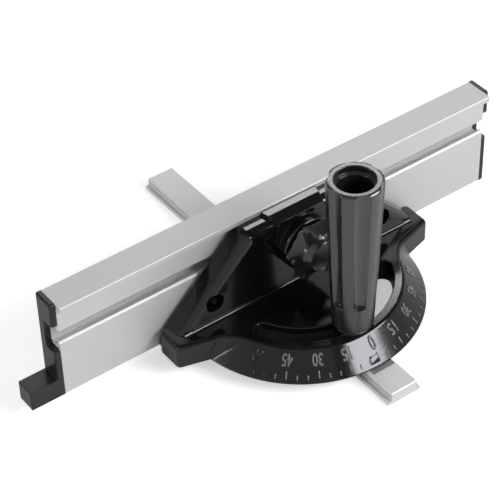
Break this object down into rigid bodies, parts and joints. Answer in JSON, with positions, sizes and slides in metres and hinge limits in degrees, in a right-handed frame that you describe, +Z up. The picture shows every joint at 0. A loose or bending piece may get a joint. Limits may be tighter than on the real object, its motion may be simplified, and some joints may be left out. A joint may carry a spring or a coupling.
{
  "type": "miter gauge",
  "caption": "Table-saw miter gauge: slotted guide bar, swivelling cast head with angle dial, clamp handle, star knob and a sliding aluminium fence with end caps.",
  "frame": {"origin": "on the head's pivot axis, at the guide bar's underside", "axes": "+X along the fence to the operator's right, +Y along the guide bar towards the workpiece, +Z up"},
  "size_m": [0.3469, 0.2527, 0.1337],
  "materials": {
    "bar_aluminium": "milled, satin",
    "fence_aluminium": "satin anodised",
    "head_paint": "glossy black enamel",
    "cap_plastic": "satin black",
    "handle_plastic": "satin dark grey",
    "knob_plastic": "glossy black",
    "steel": "zinc plated",
    "brass": "turned"
  },
  "bodies": {
    "bar": {"guide_bar": "bar_aluminium", "pivot_washer": "steel", "handle_stud": "steel"},
    "head": {"miter_head": "head_paint", "pivot_screw": "steel", "t_bolt": "steel"},
    "fence": {"fence_profile": "fence_aluminium", "left_end_cap": "cap_plastic", "right_end_cap": "cap_plastic"},
    "handle": {"clamp_handle": "handle_plastic", "handle_insert": "brass", "handle_washer": "steel"},
    "knob": {"star_knob": "knob_plastic", "knob_insert": "brass", "knob_washer": "steel"}
  },
  "joints": [
    {"name": "head_swing", "type": "hinge", "parent": "bar", "child": "head", "pos_m": [0, 0, 0], "axis": [0, 0, 1], "range_deg": [-60, 60]},
    {"name": "fence_slide", "type": "slide", "parent": "head", "child": "fence", "axis": [1, 0, 0], "range_m": [-0.1, 0.1]},
    {"name": "handle_turn", "type": "hinge", "parent": "bar", "child": "handle", "pos_m": [0, -0.0511, 0], "axis": [0, 0, 1], "range_deg": [0, 180]},
    {"name": "knob_turn", "type": "hinge", "parent": "head", "child": "knob", "pos_m": [0.002, -0.008, 0.05405], "axis": [0, -1, 0], "range_deg": [0, 180]}
  ]
}
